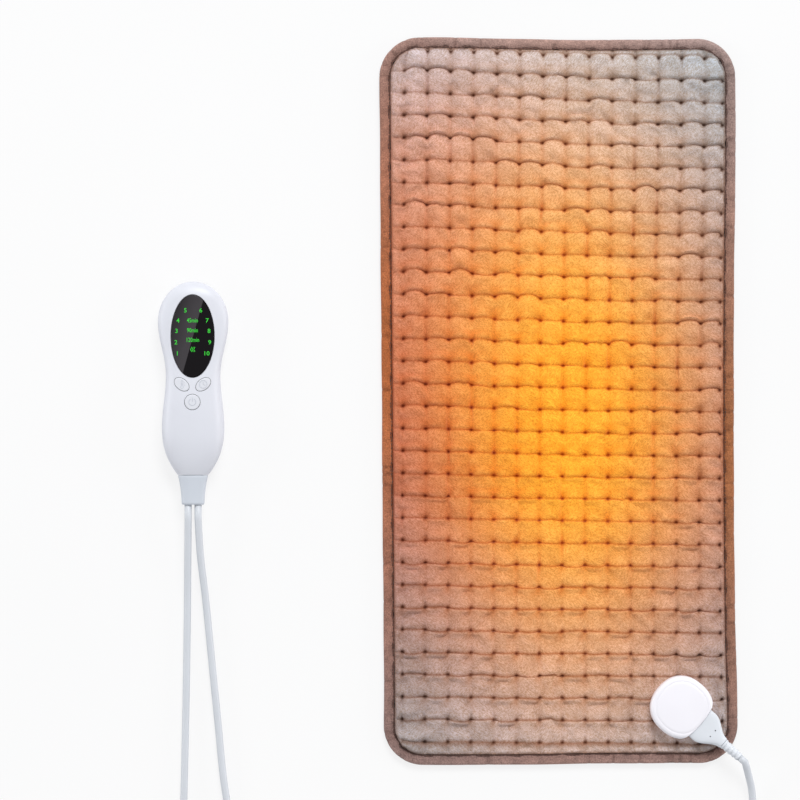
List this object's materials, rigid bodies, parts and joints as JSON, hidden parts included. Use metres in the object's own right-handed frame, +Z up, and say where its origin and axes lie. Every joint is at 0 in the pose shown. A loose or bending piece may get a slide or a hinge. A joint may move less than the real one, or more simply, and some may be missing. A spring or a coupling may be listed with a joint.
{
  "type": "heating pad with controller",
  "caption": "Tufted flannel heating pad with a plug-in lead and a hand controller that has an oval display and push buttons, its mains lead coiled and tied.",
  "frame": {"origin": "the middle of the pad's flat underside", "axes": "+X to the pad's right, +Y along its length away from the connector, +Z up out of the tufted side; the controller lies to the left and its leads run in -Y"},
  "size_m": [0.5774, 0.822, 0.0255],
  "materials": {
    "cover_flannel": "brushed flannel, warm grey-rose with an orange tint in the middle",
    "binding_tape": "folded woven tape",
    "back_cloth": "plain brushed cloth",
    "felt": "needle felt",
    "wire_insulation": "silicone insulation",
    "sensor_sleeve": "amber resin",
    "white_plastic": "satin white moulding",
    "button_plastic": "satin white moulding with faint embossed icons",
    "plug_plastic": "slightly greyer satin white moulding",
    "boot_rubber": "soft satin moulding, cool light grey",
    "lead_sheath": "soft satin sheath, cool light grey",
    "display_black": "glossy black lens with lit green figures",
    "display_board": "dark display module",
    "circuit_board": "green solder resist",
    "black_plastic": "plain black",
    "terminal_plastic": "plain blue",
    "tie_plastic": "woven hook-and-loop strap",
    "fuse_glass": "clear tube with metal caps",
    "contact_brass": "plated brass",
    "screw_steel": "zinc-plated steel"
  },
  "bodies": {
    "pad": {"edge_binding": "binding_tape", "back_cover": "back_cloth", "front_cover": "cover_flannel", "carrier_felt": "felt", "heating_wire": "wire_insulation", "thermal_cutout": "black_plastic", "temperature_sensor": "sensor_sleeve", "socket_backing_plate": "white_plastic", "socket_base": "white_plastic", "socket_cover": "white_plastic", "socket_contact_block": "black_plastic", "socket_pin_1": "contact_brass", "socket_pin_2": "contact_brass", "socket_pin_3": "contact_brass"},
    "cord_set": {"plug_contact_1": "contact_brass", "plug_contact_2": "contact_brass", "plug_contact_3": "contact_brass", "plug_tongue": "plug_plastic", "plug_grip": "plug_plastic", "plug_strain_relief": "lead_sheath", "pad_lead": "lead_sheath", "handset_top_shell": "white_plastic", "handset_bottom_shell": "white_plastic", "display_window": "display_black", "display_module": "display_board", "control_board": "circuit_board", "temperature_switch_base": "black_plastic", "timer_switch_base": "black_plastic", "power_switch_base": "black_plastic", "microcontroller": "black_plastic", "film_capacitor": "sensor_sleeve", "power_triac": "black_plastic", "fuse": "fuse_glass", "terminal_block": "terminal_plastic", "cord_boot": "boot_rubber", "mains_lead_core": "lead_sheath", "pad_lead_core": "lead_sheath", "cord_clamp": "black_plastic", "clamp_screw_1": "screw_steel", "clamp_screw_2": "screw_steel", "housing_screw_1": "screw_steel", "housing_screw_2": "screw_steel", "housing_screw_3": "screw_steel", "housing_screw_4": "screw_steel", "mains_lead": "lead_sheath", "mains_lead_coil": "lead_sheath", "mains_lead_tail": "lead_sheath", "coil_tie": "tie_plastic", "mains_plug_body": "lead_sheath", "mains_plug_blade_1": "contact_brass", "mains_plug_blade_2": "contact_brass", "mains_plug_strain_relief": "lead_sheath"},
    "temperature_key": {"temperature_button": "button_plastic", "temperature_switch_plunger": "black_plastic"},
    "timer_key": {"timer_button": "button_plastic", "timer_switch_plunger": "black_plastic"},
    "power_key": {"power_button": "button_plastic", "power_switch_plunger": "black_plastic"}
  },
  "joints": [
    {"name": "unplug", "type": "slide", "parent": "pad", "child": "cord_set", "axis": [0.757, -0.6534, 0], "range_m": [0, 0.014]},
    {"name": "press_temperature", "type": "slide", "parent": "cord_set", "child": "temperature_key", "axis": [0, 0, -1], "range_m": [0, 0.0006], "stiffness_N_per_m": 1500, "springref_m": -0.0004},
    {"name": "press_timer", "type": "slide", "parent": "cord_set", "child": "timer_key", "axis": [0, 0, -1], "range_m": [0, 0.0006], "stiffness_N_per_m": 1500, "springref_m": -0.0004},
    {"name": "press_power", "type": "slide", "parent": "cord_set", "child": "power_key", "axis": [0, 0, -1], "range_m": [0, 0.0006], "stiffness_N_per_m": 1500, "springref_m": -0.0004}
  ]
}
